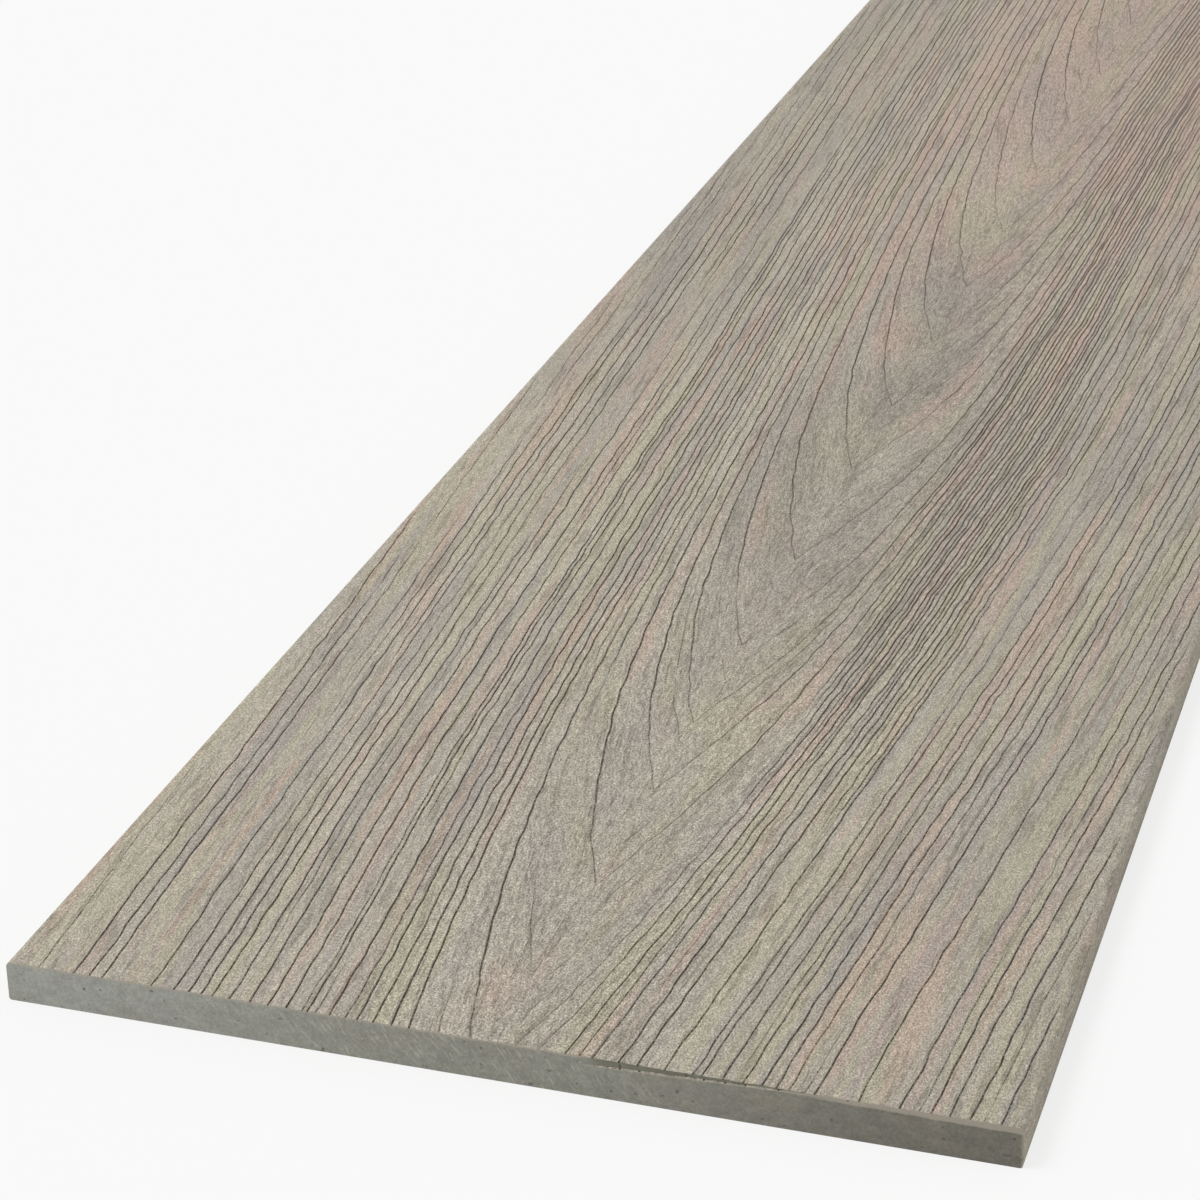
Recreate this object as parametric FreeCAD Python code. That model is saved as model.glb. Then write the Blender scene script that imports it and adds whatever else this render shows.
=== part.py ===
"""Wide, thin composite deck board: one straight plank in one piece, lying with its show face up.

X runs across the width, Y along the length and Z through the thickness. The origin is at
the middle of the back, which is the underside. All sizes are in millimetres.
"""
import FreeCAD, Part
import os

BOARD_LENGTH = 3657.6        # 12 ft stock length
BOARD_WIDTH = 298.45         # 11 3/4 in
BOARD_THICKNESS = 12.7       # 1/2 in
FACE_EDGE_RADIUS = 1.6       # rounding of the two long edges beside the show face
BACK_EDGE_RADIUS = 0.8       # smaller rounding of the two long edges beside the back
TOUCH = 0.001                # how close two heights are to count as the same


def square_plank():
    """The plank's full block, sawn square at both ends, before its long edges are rounded."""
    corner = FreeCAD.Vector(-BOARD_WIDTH / 2, -BOARD_LENGTH / 2, 0)
    return Part.makeBox(BOARD_WIDTH, BOARD_LENGTH, BOARD_THICKNESS, corner)


def long_edges_at(plank, height):
    """The straight edges that run the length of the plank at one height."""
    found = []
    for edge in plank.Edges:
        start, end = edge.Vertexes[0].Point, edge.Vertexes[-1].Point
        level = abs(start.z - height) < TOUCH and abs(end.z - height) < TOUCH
        if level and abs(start.x - end.x) < TOUCH:
            found.append(edge)
    return found


def deck_board():
    """The whole plank with its four long edges rounded."""
    plank = square_plank()
    plank = plank.makeFillet(FACE_EDGE_RADIUS, long_edges_at(plank, BOARD_THICKNESS))
    return plank.makeFillet(BACK_EDGE_RADIUS, long_edges_at(plank, 0))


os.makedirs("parts", exist_ok=True)
deck_board().exportStep("parts/deck_board.step")
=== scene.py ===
"""Looks of the composite deck board: embossed flat-sawn grain, weathered colour and sawn ends.

Metres throughout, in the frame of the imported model: X across the width, Y along the length
away from the sawn end in the foreground, and Z up out of the show face.
"""
import math

import bmesh
import bpy
from mathutils import Euler, Matrix, Vector, noise


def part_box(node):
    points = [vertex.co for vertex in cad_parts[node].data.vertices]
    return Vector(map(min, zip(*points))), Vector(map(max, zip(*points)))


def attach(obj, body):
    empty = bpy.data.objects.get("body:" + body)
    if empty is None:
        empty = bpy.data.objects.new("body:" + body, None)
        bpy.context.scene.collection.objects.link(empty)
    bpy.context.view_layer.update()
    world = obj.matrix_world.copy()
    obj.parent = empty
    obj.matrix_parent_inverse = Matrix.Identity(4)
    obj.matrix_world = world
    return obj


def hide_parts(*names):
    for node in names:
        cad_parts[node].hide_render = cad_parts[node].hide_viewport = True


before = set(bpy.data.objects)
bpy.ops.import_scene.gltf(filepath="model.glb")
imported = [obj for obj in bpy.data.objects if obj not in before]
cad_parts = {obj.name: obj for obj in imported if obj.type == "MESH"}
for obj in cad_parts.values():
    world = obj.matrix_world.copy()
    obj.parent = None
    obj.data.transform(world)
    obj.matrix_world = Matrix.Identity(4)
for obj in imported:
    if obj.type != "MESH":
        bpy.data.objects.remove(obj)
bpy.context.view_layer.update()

BOARD_LOW, BOARD_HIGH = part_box("deck_board")
LENGTH = BOARD_HIGH.y - BOARD_LOW.y
HALF_WIDTH = BOARD_HIGH.x
THICKNESS = BOARD_HIGH.z

MM = 0.001
FACE_EDGE_RADIUS = 1.6 * MM
BACK_EDGE_RADIUS = 0.8 * MM

# The grain: nested rings that open away from the near end, on both sides of a middle line
LEFT, RIGHT = -1, 1
GRAIN_MIDDLE = 1.5 * MM            # middle line of the grain, right of the board's own middle
RING_LEAN = 0.062                  # sideways run of a groove for each metre along, at the near end
RING_TURN = 1.7                    # distance from the near end at which the rings start to close again
RING_REACH = RING_LEAN * RING_TURN * 2 / math.pi
TIP_SPREAD = {LEFT: 28 * MM, RIGHT: 18 * MM}   # how far the two legs of a ring spring from its tip
TIP_SPAN = 5.0 * MM                # ring growth over which they do so
FIBRE_TURN = 24 * MM               # how far from the middle line the fine fibres lean less than a ring
FIBRE_RUN = 60 * MM                # stretch of board over which the fine fibres are drawn in one go
MIDDLE_ZONE = 30 * MM              # how far from the middle line the grooves stay thin and broken
RING_GAP = 3.8 * MM                # mean distance between grooves, with a finer one between each two
LEAST_GAP = 1.3 * MM
GROOVE_HALF_WIDTH = 0.38 * MM
GROOVE_DEPTH = 0.36 * MM
RIM_PLAIN = 2.0 * MM               # strip beside the rounded long edges over which grooves run out

# How readily the grooves show: below 0 most are left out. The parts of the face where that differs
# are given by their distance from the middle line.
MAIN_SHOWN = {LEFT: 0.65, RIGHT: 0.48}
FINE_SHOWN = {LEFT: -0.22, RIGHT: -0.20}               # the finer grooves in the gaps
PLAIN_STRIP = (98 * MM, 104 * MM, 112 * MM, 118 * MM)  # on the left, with few grooves
PLAIN_EDGE = (126 * MM, 136 * MM)                      # from here to the left long edge, likewise
PLAIN_LOSS = 0.5                                       # how much less readily they show there
DENSE_BAND = (24 * MM, 34 * MM, 56 * MM, 72 * MM)      # on the right, with grooves close together
MAIN_DENSE_GAIN = 0.34                                 # how much more readily they show there
FINE_DENSE_GAIN = 0.74
NEAR_PART = (0.10, 0.34)           # where the known grooves of the near end give way to the others

# How far the grooves wander sideways
SLOW_BEND = 3.0 * MM               # in long bends that all grooves share
BEND = 0.7 * MM                    # in shorter bends that neighbours share
KINK = 0.6 * MM                    # in small crooks along a groove
MIDDLE_CROOK = 0.9                 # share by which the crooks are larger beside the middle line
RIGHT_SWAY_OUT = 6 * MM            # on the right, outwards over the first 0.3 m
RIGHT_SWAY_BACK = 12 * MM          # and back again further on

# Grooves that cross the near end, in millimetres from the middle line, and the places along the
# middle line, in millimetres from the near end, at which the first rings come up
NEAR_GROOVES = {LEFT: (7.7, 25.2, 31.7, 37.2, 41.7, 49.7, 56.7, 63.7, 68.2, 74.7, 80.7, 86.2, 89.7,
                       93.2, 97.7, 104.7, 120.2, 123.7, 129.2, 140.2),
                RIGHT: (12.3, 20.3, 27.3, 35.3, 40.8, 48.3, 56.3, 59.3, 64.3, 70.3, 75.3, 79.3,
                        90.3, 102.3, 114.3, 122.3, 127.3, 133.3, 141.3)}
FIRST_TIPS = (90, 152, 200, 260, 333)

# Rows of points along the board: close together where the grain is seen from near
ROW_STEPS = ((0.45, 4.8 * MM), (1.05, 8.6 * MM), (4.0, 50.0 * MM))

# The step that the saw left high on the near end, where the cut was stopped and taken up again
LEDGE_LEFT = Vector((27.4 * MM, 0, 10.0 * MM))
LEDGE_RIGHT = Vector((100.8 * MM, 0, 12.7 * MM))
LEDGE_DEPTH = 0.50 * MM
LEDGE_SLOPE = 0.22 * MM
SAW_FRAY = 0.22 * MM               # unevenness of the sawn rim
FRAY_LENGTH = 2.3 * MM             # length of one chip along that rim
CAP_DEPTH = 0.8 * MM               # thickness of the coloured cap over the core, at the sawn end's left
CAP_DEPTH_GAIN = 1.4 * MM          # how much thicker the saw's smear makes it look at the right


def ease(low, high, value):
    """0 below low and 1 above high, with a smooth rise between them."""
    share = min(max((value - low) / (high - low), 0.0), 1.0)
    return share * share * (3 - 2 * share)


def between(rise_from, rise_to, fall_from, fall_to, value):
    """1 inside a band and 0 outside it, with a smooth rise and fall at its borders."""
    return ease(rise_from, rise_to, value) * (1 - ease(fall_from, fall_to, value))


def rough(x, y=0.0, z=0.0):
    """Smooth random value between about -1 and 1, the same on every run."""
    return noise.noise(Vector((x, y, z)))


def row_places():
    """Distances of the rows from the near end."""
    places = [0.0]
    for reach, step in ROW_STEPS:
        while places[-1] < min(reach, LENGTH):
            places.append(min(places[-1] + step, LENGTH))
    return places


def ring_growth(along):
    """How far the rings have moved out of the middle line at a distance from the near end."""
    return RING_REACH * math.sin(along / RING_TURN * math.pi / 2)


def ring_offset(size, side):
    """Distance from the middle line at which the leg of a ring of this size lies on one side."""
    return size + TIP_SPREAD[side] * (1 - math.exp(-size / TIP_SPAN))


def ring_size(offset, side):
    """Size of the ring whose leg lies at this distance from the middle line."""
    low, high = 0.0, offset
    for _ in range(40):
        middle = (low + high) / 2
        if ring_offset(middle, side) < offset:
            low = middle
        else:
            high = middle
    return low


def ring_slant(size, side, along):
    """Sideways run of a ring's leg for each metre along."""
    lean = RING_LEAN * math.cos(along / RING_TURN * math.pi / 2)
    return lean * (1 + TIP_SPREAD[side] / TIP_SPAN * math.exp(-size / TIP_SPAN))


class Ring:
    """One groove on both sides of the middle line: its size at the near end, and where it is known."""

    def __init__(self, size, sides=(), fine=False):
        self.size = size
        self.sides = sides
        self.fine = fine


def known_rings():
    """The rings that cross the near end and the first ones to come up, from the innermost outwards."""
    found = [Ring(-ring_growth(tip * MM), (LEFT, RIGHT)) for tip in FIRST_TIPS]
    for side in (LEFT, RIGHT):
        found += [Ring(ring_size(place * MM, side), (side,)) for place in NEAR_GROOVES[side]]
    found.sort(key=lambda ring: ring.size)
    rings = found[:1]
    for ring in found[1:]:
        if ring.size - rings[-1].size < LEAST_GAP:
            rings[-1] = Ring((rings[-1].size + ring.size) / 2, (LEFT, RIGHT))
        else:
            rings.append(ring)
    return rings


def all_rings():
    """The known rings with others inside and outside them, and a fine ring in every gap."""
    main = []
    size = -RING_REACH
    edge = ring_size(HALF_WIDTH + 2 * GRAIN_MIDDLE, RIGHT) + RING_REACH
    for ring in known_rings() + [Ring(edge)]:
        while ring.size - size > 0.6 * RING_GAP:
            main.append(Ring(size))
            size += RING_GAP * (1 + 0.4 * rough(size / (3 * MM), 8.1))
        main.append(ring)
        size = ring.size + RING_GAP * (1 + 0.4 * rough(ring.size / (2 * MM), 3.7))
    rings = main[:1]
    for ring in main[1:]:
        if ring.size - rings[-1].size > 2 * LEAST_GAP:
            share = 0.5 + 0.2 * rough(ring.size / (1.3 * MM), 5.5)
            rings.append(Ring(rings[-1].size * share + ring.size * (1 - share), fine=True))
        rings.append(ring)
    return rings


def half_face(mesh, rings, rows):
    """The show face right of the middle line, as a grid with three columns of points to a groove."""
    columns = 3 * len(rings)
    bmesh.ops.create_grid(mesh, x_segments=columns - 1, y_segments=len(rows) - 1, size=0.5)
    ring_layer = mesh.verts.layers.int.new("ring")
    line_layer = mesh.verts.layers.float.new("line")
    cut_layer = mesh.verts.layers.float.new("groove")
    spread = (TIP_SPREAD[LEFT] + TIP_SPREAD[RIGHT]) / 2
    for point in mesh.verts:
        column = round((point.co.x + 0.5) * (columns - 1))
        along = rows[round((point.co.y + 0.5) * (len(rows) - 1))]
        ring = rings[column // 3]
        wall = column % 3 - 1
        size = ring.size + ring_growth(along)
        widening = 1 + spread / TIP_SPAN * math.exp(-max(size, 0.0) / TIP_SPAN)
        point[ring_layer] = column // 3
        point[cut_layer] = 1.0 - abs(wall)
        point[line_layer] = ring.size + wall * GROOVE_HALF_WIDTH / widening
        point.co = (point[line_layer] + ring_growth(along), along, 0)
    keep_side(mesh, Vector((0, 0, 0)), Vector((-1, 0, 0)))


def keep_side(mesh, at, outward):
    """Cuts the sheet along a plane and drops what lies on the outward side."""
    everything = mesh.verts[:] + mesh.edges[:] + mesh.faces[:]
    bmesh.ops.bisect_plane(mesh, geom=everything, dist=1e-6, plane_co=at, plane_no=outward,
                           clear_outer=True)


def seen_share(ring, side, along, offset):
    """How readily a groove shows in a part of the face: more so where they lie dense."""
    shown = FINE_SHOWN[side] if ring.fine else MAIN_SHOWN[side]
    if side == LEFT:
        return shown - PLAIN_LOSS * max(between(*PLAIN_STRIP, offset), ease(*PLAIN_EDGE, offset))
    dense = between(*DENSE_BAND, offset) * ease(0.10, 0.20, along)
    return shown + (FINE_DENSE_GAIN if ring.fine else MAIN_DENSE_GAIN) * dense


def groove_strength(ring, side, along, offset):
    """Depth of a groove at one point, from 0 to 1: some fade out, and the middle has short dashes."""
    own = rough(ring.size / (0.9 * MM), 17.3 * side)
    fade = rough(ring.size / (5 * MM), along / 0.15, 5.1 * side)
    dash = rough(ring.size / (1.1 * MM), along / 0.020, 2.9 * side)
    near = 1 - ease(*NEAR_PART, along)
    middle = 1 - ease(0.2 * MIDDLE_ZONE, MIDDLE_ZONE, offset)
    strength = seen_share(ring, side, along, offset) + 0.6 * own + 0.30 * fade + 0.15 * dash
    strength += near * (0.4 if side in ring.sides else 0.4 * middle - 0.5)
    strength += middle * ((0.38 if ring.fine else 0.05) - 0.9 * dash)
    depth = min(max(0.40 + 0.6 * strength, 0.0), 1.0)
    return ease(0.05, 0.40, strength) * depth * (1 - 0.60 * middle)


def wander(ring, side, along, offset):
    """Sideways wander of the grain at one point: slow bends shared by all, and small kinks of its own."""
    slow = SLOW_BEND * rough(side * offset / 0.07, along / 0.33, 1.3)
    bend = BEND * rough(side * offset / 0.024, along / 0.06, 6.2)
    crooked = 1 + MIDDLE_CROOK * (1 - ease(0.3 * MIDDLE_ZONE, MIDDLE_ZONE, offset))
    kink = KINK * crooked * rough(ring.size / (4.5 * MM), along / 0.009, 9.4)
    sway = 0.0
    if side == RIGHT:
        sway = RIGHT_SWAY_OUT * ease(0, 0.3, along) - RIGHT_SWAY_BACK * ease(0.4, 1.0, along)
    clear = ease(0, 20 * MM, offset)
    return (slow + bend) * ease(0, 0.12, along) + kink * ease(0, 4 * MM, offset) + sway * clear


def show_face(mesh):
    """The whole show face with its grooves pressed in, cut off where the long edges start to round."""
    rings = all_rings()
    half_face(mesh, rings, row_places())
    everything = mesh.verts[:] + mesh.edges[:] + mesh.faces[:]
    bmesh.ops.mirror(mesh, geom=everything, matrix=Matrix(), axis="X", merge_dist=1e-6)
    ring_layer = mesh.verts.layers.int["ring"]
    cut_layer = mesh.verts.layers.float["groove"]
    offset_layer = mesh.verts.layers.float.new("offset")
    slant_layer = mesh.verts.layers.float.new("slant")
    flat = HALF_WIDTH - FACE_EDGE_RADIUS
    for point in mesh.verts:
        side = LEFT if point.co.x < 0 else RIGHT
        ring = rings[point[ring_layer]]
        along = point.co.y
        size = abs(point.co.x)
        offset = ring_offset(size, side)
        point[offset_layer] = side * offset
        point[slant_layer] = side * ring_slant(size, side, along) * ease(0, FIBRE_TURN, offset)
        point.co.x = GRAIN_MIDDLE + side * offset + wander(ring, side, along, offset)
        point.co.y = BOARD_LOW.y + along
        rim = 1 - ease(flat - RIM_PLAIN, flat, abs(point.co.x))
        point[cut_layer] *= groove_strength(ring, side, along, offset) * rim
        point.co.z = THICKNESS - GROOVE_DEPTH * point[cut_layer]
    for side in (LEFT, RIGHT):
        keep_side(mesh, Vector((side * flat, 0, 0)), Vector((side, 0, 0)))
    bmesh.ops.remove_doubles(mesh, verts=mesh.verts[:], dist=1e-5)


def wall_levels():
    """Half widths and heights of the section below the show face, down to the flat of the back."""
    levels = []
    for step in range(1, 5):
        turn = math.radians(90) * step / 4
        levels.append((HALF_WIDTH - FACE_EDGE_RADIUS * (1 - math.sin(turn)),
                       THICKNESS - FACE_EDGE_RADIUS * (1 - math.cos(turn))))
    levels.append((HALF_WIDTH, THICKNESS / 2))
    for step in range(0, 4):
        turn = math.radians(90) * step / 3
        levels.append((HALF_WIDTH - BACK_EDGE_RADIUS * (1 - math.cos(turn)),
                       BACK_EDGE_RADIUS * (1 - math.sin(turn))))
    return levels


def walls_and_back(mesh):
    """Draws the rim of the show face down over the long edges and the sawn ends, and closes the back."""
    cut_layer = mesh.verts.layers.float["groove"]
    half_width = HALF_WIDTH - FACE_EDGE_RADIUS
    for next_half_width, next_height in wall_levels():
        rim = [edge for edge in mesh.edges if edge.is_boundary]
        made = bmesh.ops.extrude_edge_only(mesh, edges=rim)["geom"]
        notch = GROOVE_DEPTH * (1 - ease(0, 3 * MM, THICKNESS - next_height))
        for point in (part for part in made if isinstance(part, bmesh.types.BMVert)):
            point.co.x *= next_half_width / half_width
            point.co.z = next_height - notch * point[cut_layer]
        half_width = next_half_width
    rim = [edge for edge in mesh.edges if edge.is_boundary]
    bmesh.ops.contextual_create(mesh, geom=rim)
    bmesh.ops.recalc_face_normals(mesh, faces=mesh.faces[:])


def saw_ledge(mesh):
    """Cuts the near end along the ledge's line and sets back the strip above it."""
    run = LEDGE_RIGHT - LEDGE_LEFT
    upward = Vector((-run.z, 0, run.x)).normalized()
    for lift in (0, LEDGE_SLOPE):
        end = [face for face in mesh.faces if face.normal.y < -0.7
               and LEDGE_LEFT.x - 6 * MM < face.calc_center_median().x < LEDGE_RIGHT.x]
        parts = dict.fromkeys(end)       # each part once, in the same order every time
        for face in end:
            parts.update(dict.fromkeys(face.verts))
            parts.update(dict.fromkeys(face.edges))
        bmesh.ops.bisect_plane(mesh, geom=list(parts), dist=1e-6, plane_co=LEDGE_LEFT + upward * lift,
                               plane_no=upward)
    for point in mesh.verts:
        over = (point.co - LEDGE_LEFT).dot(upward)
        if point.co.y < BOARD_LOW.y + 1e-5 and over > LEDGE_SLOPE * 0.9:
            reach = ease(LEDGE_LEFT.x - 5 * MM, LEDGE_LEFT.x + 4 * MM, point.co.x)
            point.co.y += LEDGE_DEPTH * reach * (point.co.x < LEDGE_RIGHT.x + 20 * MM)


def fray_rims(mesh):
    """Makes the sawn rims of the show face slightly uneven, always inwards."""
    for point in mesh.verts:
        if point.co.z > THICKNESS - GROOVE_DEPTH * 1.01:
            for end, inward in ((BOARD_LOW.y, 1), (BOARD_HIGH.y, -1)):
                if abs(point.co.y - end) < 1e-5:
                    chip = max(rough(point.co.x / FRAY_LENGTH, end) + 0.3, 0)
                    point.co.y += inward * SAW_FRAY * chip


def put_in_order(mesh):
    """Numbers the points and faces by their places, so that every run lists them alike."""
    for number, point in enumerate(sorted(mesh.verts, key=lambda point: tuple(point.co))):
        point.index = number
    mesh.verts.sort()
    for number, face in enumerate(sorted(mesh.faces, key=lambda face: tuple(face.calc_center_median()))):
        face.index = number
    mesh.faces.sort()


def deck_board(cap, core, back):
    """The board as one closed mesh: embossed cap, sawn core at the ends and plain back."""
    mesh = bmesh.new()
    show_face(mesh)
    walls_and_back(mesh)
    fray_rims(mesh)
    saw_ledge(mesh)
    put_in_order(mesh)
    mesh.normal_update()
    for face in mesh.faces:
        face.smooth = face.normal.z > -0.99
        if abs(face.normal.y) > 0.5:
            face.material_index = 1
        elif face.normal.z < -0.99:
            face.material_index = 2
    data = bpy.data.meshes.new("embossed_board")
    mesh.to_mesh(data)
    mesh.free()
    data.set_sharp_from_angle(angle=math.radians(24))
    for material in (cap, core, back):
        data.materials.append(material)
    piece = bpy.data.objects.new("embossed_board", data)
    bpy.context.collection.objects.link(piece)
    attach(piece, "root")
    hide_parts("deck_board")
    return piece


class Wire:
    """One output of a shader node, on which sums can be written."""

    def __init__(self, finish, socket):
        self.finish = finish
        self.socket = socket

    def work_out(self, operation, first, second=0.0):
        return self.finish.node("ShaderNodeMath", {"operation": operation}, {0: first, 1: second})

    def __add__(self, other):
        return self.work_out("ADD", self, other)

    def __radd__(self, other):
        return self.work_out("ADD", other, self)

    def __sub__(self, other):
        return self.work_out("SUBTRACT", self, other)

    def __rsub__(self, other):
        return self.work_out("SUBTRACT", other, self)

    def __mul__(self, other):
        return self.work_out("MULTIPLY", self, other)

    def __rmul__(self, other):
        return self.work_out("MULTIPLY", other, self)

    def floor(self):
        return self.work_out("FLOOR", self)

    def size(self):
        return self.work_out("ABSOLUTE", self)


class Finish:
    """A material or the world, and the few ways in which its nodes are made."""

    def __init__(self, owner):
        self.owner = owner
        self.owner.use_nodes = True
        self.tree = self.owner.node_tree
        self.tree.nodes.clear()

    def node(self, kind, settings, sockets, output=0):
        """Adds a node, sets it up, fills its sockets with values or links, and returns one output."""
        made = self.tree.nodes.new(kind)
        for name, value in settings.items():
            setattr(made, name, value)
        for name, value in sockets.items():
            if isinstance(value, Wire):
                self.tree.links.new(value.socket, made.inputs[name])
            else:
                made.inputs[name].default_value = value
        return Wire(self, made.outputs[output])

    def painted(self, name):
        """A number kept on the mesh's points."""
        return self.node("ShaderNodeAttribute", {"attribute_name": name}, {}, output=2)

    def place(self):
        """Where a point is on the board, in metres, and its three parts."""
        spot = self.node("ShaderNodeTexCoord", {}, {}, output=3)
        parts = [self.node("ShaderNodeSeparateXYZ", {}, {0: spot}, output=axis) for axis in range(3)]
        return spot, parts

    def stretch(self, vector, scales, shift=(0, 0, 0)):
        """A place multiplied by its own scale along each axis, and shifted."""
        return self.node("ShaderNodeVectorMath", {"operation": "MULTIPLY_ADD"},
                         {0: vector, 1: scales, 2: shift})

    def cloud(self, place, detail=2.0, roughness=0.5):
        """Soft noise, about 0 to 1, one feature to each unit of the place."""
        return self.node("ShaderNodeTexNoise", {"noise_dimensions": "3D"},
                         {"Vector": place, "Scale": 1.0, "Detail": detail, "Roughness": roughness})

    def fade(self, value, low, high):
        """0 below low and 1 above high, smooth between them."""
        return self.node("ShaderNodeMapRange", {"interpolation_type": "SMOOTHSTEP"},
                         {"Value": value, "From Min": low, "From Max": high})

    def blend(self, factor, under, over, how="MIX"):
        """Mixes two colours."""
        return self.node("ShaderNodeMix", {"data_type": "RGBA", "blend_type": how},
                         {0: factor, 6: under, 7: over}, output=2)

    def shade(self, colour, amount, spread):
        """Lightens and darkens a colour by up to spread, as amount goes from 0 to 1."""
        low, high = 1 - spread, 1 + spread
        level = self.blend(amount, (low, low, low, 1), (high, high, high, 1))
        return self.blend(1.0, colour, level, "MULTIPLY")

    def relief(self, height, distance):
        """Bump of a height from 0 to 1 that stands for a distance in metres."""
        return self.node("ShaderNodeBump", {}, {"Height": height, "Distance": distance})

    def surface(self, colour, roughness, normal, specular):
        """Ends the material in one plain shader, and returns the material."""
        shader = self.node("ShaderNodeBsdfPrincipled", {},
                           {"Base Color": colour, "Roughness": roughness, "Normal": normal,
                            "Specular IOR Level": specular})
        return self.output(shader)

    def seen(self):
        """1 where the camera sees this, also by way of metal or glass, and 0 where it only lights."""
        camera_ray, glossy_ray, through_ray = (self.node("ShaderNodeLightPath", {}, {}, output=kind)
                                               for kind in (0, 3, 6))
        return camera_ray + glossy_ray + through_ray

    def output(self, shader, kind="ShaderNodeOutputMaterial"):
        """Sends a shader to the output, and returns the material or the world."""
        end = self.tree.nodes.new(kind)
        self.tree.links.new(shader.socket, end.inputs["Surface"])
        return self.owner


def tint(red, green, blue):
    """A colour given in screen values from 0 to 255, in linear light."""
    linear = []
    for value in (red / 255, green / 255, blue / 255):
        linear.append(value / 12.92 if value < 0.0405 else ((value + 0.055) / 1.055) ** 2.4)
    return (*linear, 1.0)


# The cap's colours
TAUPE = tint(179, 171, 158)
PALE_TAUPE = tint(190, 182, 166)
# painted shade: a darker taupe laid over the right of the face, where the light falls off
PAINTED_SHADE_TAUPE = tint(158, 151, 139)
PINK_TAUPE = tint(185, 163, 151)
GREEN_BEIGE = tint(184, 178, 150)
BLUSH = tint(195, 168, 154)
SLATE = tint(158, 154, 152)
HEART_GREY = tint(145, 138, 130)
FAR_EDGE_GREY = tint(158, 148, 137)
HAIRLINE_BROWN = tint(120, 111, 99)
# painted shade: the dark brown laid into the pressed-in grooves
GROOVE_SHADE_BROWN = tint(76, 68, 59)

# The core's colours at a sawn end; it turns from green-grey at the left to brown-grey at the right, and
# its darkening that way is partly painted light fall-off
CORE_LEFT_GREEN_LIT = tint(157, 158, 151)
CORE_MIDDLE = tint(142, 141, 132)
CORE_RIGHT_BROWN_SHADED = tint(114, 111, 102)
CORE_WARM = tint(144, 137, 122)
SCRATCH = tint(186, 182, 168)
# painted highlight on the ledge's lip, and painted shade on the set-back strip above it
LEDGE_LIP_HIGHLIGHT = tint(172, 168, 154)
LEDGE_SHADE = tint(112, 113, 99)
CAP_RIM = tint(170, 161, 147)
CAP_SIDE = tint(164, 154, 140)
# painted shade: the dark inside small pits
PIT_SHADE = tint(84, 80, 74)

# The back, the floor and the backdrop
BACK_DARK = tint(138, 130, 118)
BACK_LIGHT = tint(154, 146, 133)
FLOOR_WHITE = tint(245, 245, 244)
BACKDROP_WHITE = tint(250, 250, 250)


class Grain:
    """Noise that follows the grooves of the show face."""

    def __init__(self, cap):
        self.cap = cap
        across, along, up = cap.place()[1]
        self.along = along - BOARD_LOW.y
        self.offset = cap.painted("offset")
        self.depth = THICKNESS - up
        self.runs = [self.run(0.0), self.run(0.5)]
        self.rings = cap.node("ShaderNodeCombineXYZ", {}, {0: cap.painted("line") + self.depth,
                                                           1: self.along, 2: self.offset})

    def run(self, shift):
        """Places along straight fibres, drawn from the middle of each run, and how near it is."""
        count = (self.along * (1 / FIBRE_RUN) + shift).floor()
        past = self.along - (count + (0.5 - shift)) * FIBRE_RUN
        straight = self.offset - self.cap.painted("slant") * past + self.depth
        place = self.cap.node("ShaderNodeCombineXYZ", {}, {0: straight, 1: self.along, 2: shift})
        return place, 1 - past.size() * (2 / FIBRE_RUN)

    def bands(self, across, along, seed, detail=2.0):
        """Broad noise in the shape of the rings, of this many bands a metre across and along."""
        return self.cap.cloud(self.cap.stretch(self.rings, (across, along, 25.0), (seed,) * 3), detail)

    def fibres(self, across, along, seed, detail=2.0, roughness=0.5):
        """Fine noise along the grooves, of this many fibres a metre across and along."""
        total = 0.0
        near = self.runs[0][1]
        for place, weight in self.runs:
            spot = self.cap.stretch(place, (across, along, 31.0), (seed,) * 3)
            total = total + (self.cap.cloud(spot, detail, roughness) - 0.5) * weight
        return total * (1 + 1.66 * near * (1 - near)) + 0.5


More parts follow.
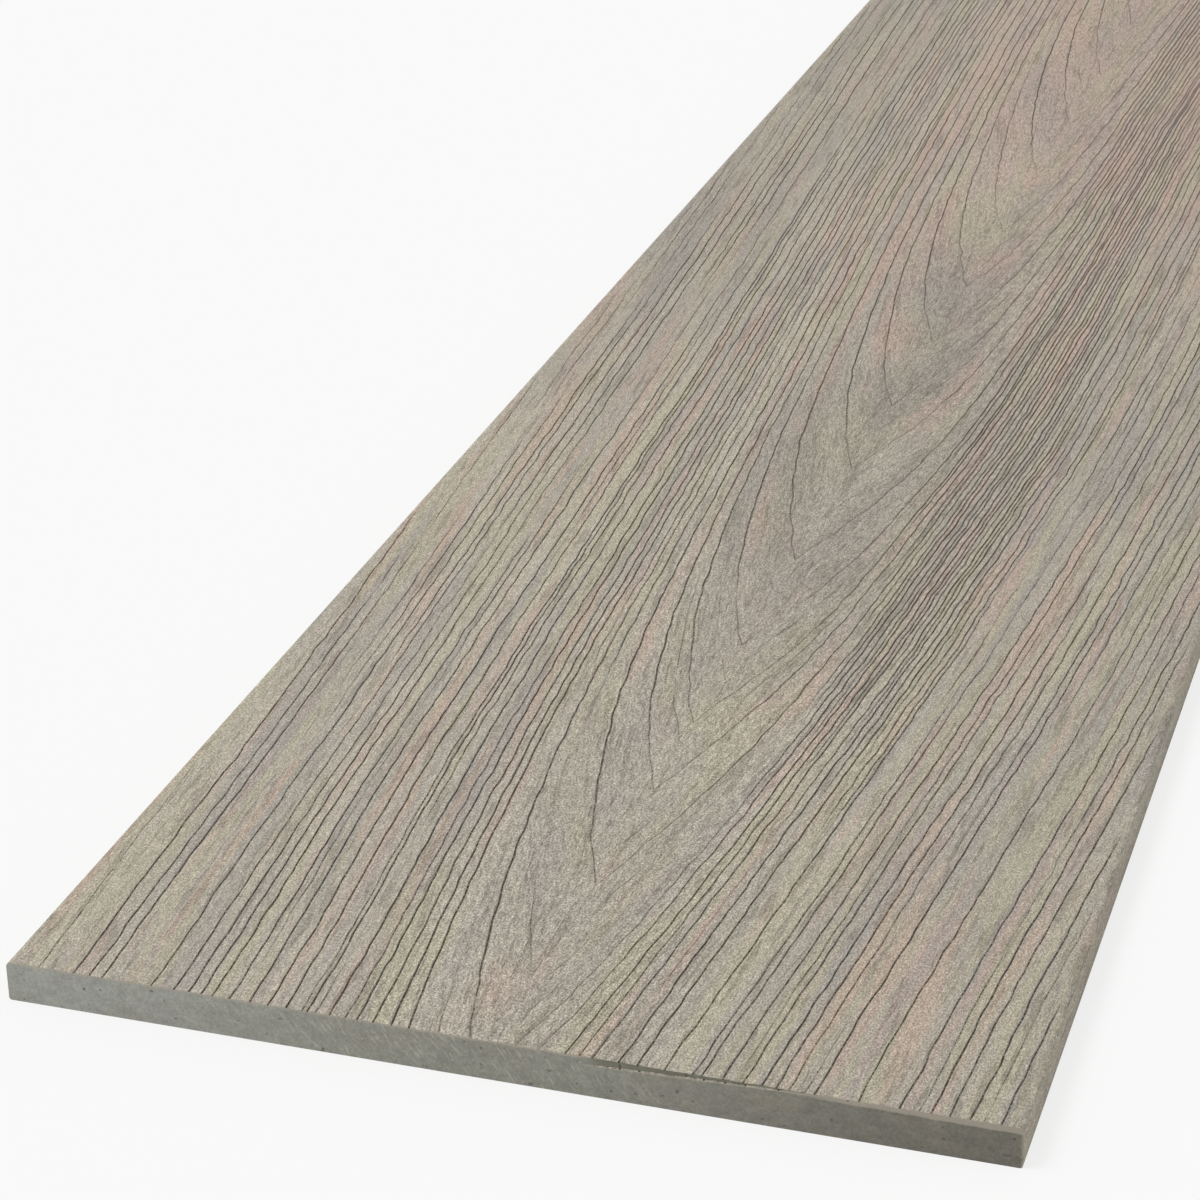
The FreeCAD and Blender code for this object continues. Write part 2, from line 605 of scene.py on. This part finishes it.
def weathered_cap():
    """The cap of the show face and long edges: taupe streaks along the grain, painted shade in the
    grooves, and painted shade that darkens it towards the right.
    """
    cap = Finish(bpy.data.materials.new("weathered_cap"))
    grain = Grain(cap)
    groove = cap.painted("groove")
    spot = cap.place()[0]

    broad = grain.bands(60, 4, 1.7)
    green = grain.bands(150, 7, 5.3)
    blush = grain.bands(170, 8, 9.1)
    slate = grain.bands(190, 6, 13.9)
    fibre = grain.fibres(1200, 230, 3.3, 3.0, 0.6)
    hair = grain.fibres(480, 26, 21.1)
    grit = cap.fade(cap.cloud(cap.stretch(spot, (1900, 1100, 1900)), 2.0, 0.7), 0.30, 0.70)
    tooth = cap.fade(cap.cloud(cap.stretch(spot, (420, 760, 420), (7, 7, 7)), 1.0), 0.36, 0.62)

    middle = 1 - cap.fade(grain.offset.size(), 0.02, 0.07)
    colour = cap.blend(cap.fade(broad, 0.35, 0.65), TAUPE, PALE_TAUPE)
    # Painted shade: the face darkens towards its right, as the light falls off there
    colour = cap.blend(cap.fade(grain.offset, -0.05, 0.16) * 0.35, colour, PAINTED_SHADE_TAUPE)
    far = cap.fade(grain.along + (blush - 0.5) * 0.8, 0.35, 0.95)
    warm_side = cap.fade(grain.offset, -0.11, -0.04)
    colour = cap.blend(far * warm_side * 0.8, colour, PINK_TAUPE)
    colour = cap.blend(cap.fade(green, 0.46, 0.62) * 0.46, colour, GREEN_BEIGE)
    colour = cap.blend(cap.fade(blush, 0.50, 0.66) * 0.48, colour, BLUSH)
    colour = cap.blend(cap.fade(slate, 0.50, 0.66) * (0.44 - middle * 0.18), colour, SLATE)
    heart = (1 - cap.fade(grain.offset.size(), 0.01, 0.06)) * cap.fade(grain.along, 0.18, 0.40)
    heart = heart * (1 - cap.fade(grain.along, 0.50, 0.80) * 0.7)
    colour = cap.blend(heart * (0.25 + cap.fade(slate, 0.30, 0.60) * 0.40), colour, HEART_GREY)
    far_left = cap.fade(grain.along, 0.35, 0.70) * (1 - cap.fade(grain.offset, -0.11, -0.07))
    colour = cap.blend(far_left * 0.35, colour, FAR_EDGE_GREY)
    hairline = cap.fade(hair, 0.55, 0.66)
    colour = cap.blend(hairline * 0.35, colour, HAIRLINE_BROWN)
    colour = cap.shade(colour, (fibre - 0.5) * (0.9 + middle * 0.5) + 0.5, 0.55)
    colour = cap.shade(colour, (grit - 0.5) * (0.80 + middle * 0.20) + 0.5, 0.44)
    # Painted shade in the grooves: dark brown along their bottoms, with ragged edges
    ragged = groove * (0.50 + tooth * 0.9) + (grit - 0.5) * 0.8 + (fibre - 0.5) * 0.5
    pressed = cap.fade(ragged, 0.12, 0.52) * cap.fade(groove, 0.0, 0.12)
    colour = cap.blend(pressed * 0.95, colour, GROOVE_SHADE_BROWN)

    height = fibre * 0.5 + grit * 0.5 - hairline * 0.4
    roughness = 0.62 + fibre * 0.2
    return cap.surface(colour, roughness, cap.relief(height, 0.42 * MM), 0.2)


def sawn_core():
    """The wood-plastic core at a sawn end: green-grey to brown-grey, mottled, with fine scratches, and
    darker to the right partly by painted light fall-off.
    """
    core = Finish(bpy.data.materials.new("sawn_core"))
    spot, (across, along, up) = core.place()
    mottle = core.cloud(core.stretch(spot, (170, 170, 260)), 4.0, 0.6)
    warm = core.cloud(core.stretch(spot, (55, 55, 120), (3, 3, 3)), 3.0)
    speck = core.cloud(core.stretch(spot, (1300, 1300, 1300)), 2.0, 0.6)
    pits = core.cloud(core.stretch(spot, (420, 420, 420), (5, 5, 5)), 1.0)
    strokes = core.node("ShaderNodeCombineXYZ", {}, {0: (across + up * 0.7) * 1300.0,
                                                     1: (up - across * 0.7) * 170.0, 2: mottle * 3.0})
    scratched = (0.5 + core.fade(across, -0.09, -0.04)) * (1 - core.fade(across, 0.0, 0.08))
    scratches = core.fade(core.cloud(strokes, 1.0), 0.58, 0.70) * scratched
    run = (LEDGE_RIGHT - LEDGE_LEFT).normalized()
    over = (up - LEDGE_LEFT.z) * run.x - (across - LEDGE_LEFT.x) * run.z + (speck - 0.5) * (0.5 * MM)
    ledge = (core.fade(across, LEDGE_LEFT.x - 4 * MM, LEDGE_LEFT.x + 6 * MM)
             * (1 - core.fade(across, LEDGE_RIGHT.x - 20 * MM, LEDGE_RIGHT.x))
             * (1 - core.fade(along, -1.0, 1.0)))
    # Green-grey at the left to brown-grey at the right: partly the core's own colour, partly painted
    # light that falls off to the right
    colour = core.blend(core.fade(across, -HALF_WIDTH, 0), CORE_LEFT_GREEN_LIT, CORE_MIDDLE)
    colour = core.blend(core.fade(across, 0, HALF_WIDTH), colour, CORE_RIGHT_BROWN_SHADED)
    colour = core.shade(colour, mottle, 0.28)
    colour = core.blend(core.fade(warm, 0.52, 0.70) * 0.35, colour, CORE_WARM)
    colour = core.shade(colour, speck, 0.34)
    colour = core.blend(scratches * 0.36, colour, SCRATCH)
    # Painted highlight along the ledge's lit lip, and painted shade on the set-back strip above it
    lip_highlight = core.fade(over, -0.45 * MM, -0.10 * MM)
    colour = core.blend(lip_highlight * ledge * 0.6, colour, LEDGE_LIP_HIGHLIGHT)
    colour = core.blend(core.fade(over, 0.0, 0.15 * MM) * ledge * 0.8, colour, LEDGE_SHADE)
    rough_line = (mottle - 0.5) * (1.2 * MM)
    skin_depth = CAP_DEPTH + core.fade(across, 0.03, HALF_WIDTH) * CAP_DEPTH_GAIN
    skin = core.fade(up + rough_line + skin_depth - THICKNESS, 0.0, 0.6 * MM)
    side_skin = core.fade(across.size() + rough_line, HALF_WIDTH - CAP_DEPTH, HALF_WIDTH - 0.2 * MM)
    colour = core.blend(skin * (1 - ledge * 0.7) * 0.7, colour, CAP_RIM)
    colour = core.blend(side_skin * 0.6, colour, CAP_SIDE)
    # Painted shade: dark spots inside the small pits, which are dented only by the bump
    pit = core.fade(pits, 0.70, 0.76)
    colour = core.blend(pit * 0.6, colour, PIT_SHADE)
    height = speck * 0.5 + mottle * 0.5 + scratches * 0.3 - pit
    return core.surface(colour, 0.85, core.relief(height, 0.15 * MM), 0.2)


def plain_back():
    """The underside: the same cap colour, smooth, with faint drawing lines along the board."""
    back = Finish(bpy.data.materials.new("plain_back"))
    place = back.place()[0]
    lines = back.cloud(back.stretch(place, (420, 1.2, 1)), 3.0)
    speck = back.cloud(back.stretch(place, (600, 240, 1)), 2.0)
    colour = back.blend(lines, BACK_DARK, BACK_LIGHT)
    normal = back.relief(lines * 0.7 + speck * 0.3, 0.12 * MM)
    return back.surface(colour, 0.7, normal, 0.3)


def pale_floor():
    """A plain pale floor that the camera sees as almost white, with the board's shadow on it."""
    floor = Finish(bpy.data.materials.new("pale_floor"))
    lit = floor.node("ShaderNodeBsdfDiffuse", {}, {"Color": FLOOR_WHITE})
    shown = floor.node("ShaderNodeEmission", {}, {"Color": BACKDROP_WHITE, "Strength": 1.0})
    mixed = floor.node("ShaderNodeMixShader", {}, {0: floor.seen() * 0.8, 1: lit, 2: shown})
    material = floor.output(mixed)
    mesh = bmesh.new()
    bmesh.ops.create_grid(mesh, x_segments=1, y_segments=1, size=30)
    data = bpy.data.meshes.new("floor")
    mesh.to_mesh(data)
    mesh.free()
    data.materials.append(material)
    ground = bpy.data.objects.new("floor", data)
    bpy.context.collection.objects.link(ground)


def studio_light():
    """Soft even light: a white surround and one broad high lamp from the left."""
    surround = Finish(bpy.data.worlds.new("studio"))
    lighting = surround.node("ShaderNodeBackground", {}, {"Color": (1, 1, 1, 1), "Strength": 0.6})
    shown = surround.node("ShaderNodeBackground", {}, {"Color": BACKDROP_WHITE, "Strength": 1.0})
    mixed = surround.node("ShaderNodeMixShader", {}, {0: surround.seen(), 1: lighting, 2: shown})
    bpy.context.scene.world = surround.output(mixed, "ShaderNodeOutputWorld")
    lamp = bpy.data.lights.new("high_lamp", "SUN")
    lamp.energy = 1.5
    lamp.angle = math.radians(25)
    high_lamp = bpy.data.objects.new("high_lamp", lamp)
    high_lamp.rotation_euler = Vector((0.55, 0.25, -1.0)).to_track_quat("-Z", "Y").to_euler()
    bpy.context.collection.objects.link(high_lamp)


def camera():
    """The camera at the photograph's place, low over the near end and turned to the left."""
    data = bpy.data.cameras.new("camera")
    data.sensor_width = 36.0
    data.lens = 101.568
    eye = bpy.data.objects.new("camera", data)
    eye.location = (0.27347, -2.57672, 0.52520)
    eye.rotation_euler = Euler([math.radians(turn) for turn in (64.624, 0.675, 17.511)], "XYZ")
    bpy.context.collection.objects.link(eye)
    bpy.context.scene.camera = eye


camera()
studio_light()
pale_floor()
deck_board(weathered_cap(), sawn_core(), plain_back())
bpy.context.scene.view_settings.view_transform = "Standard"
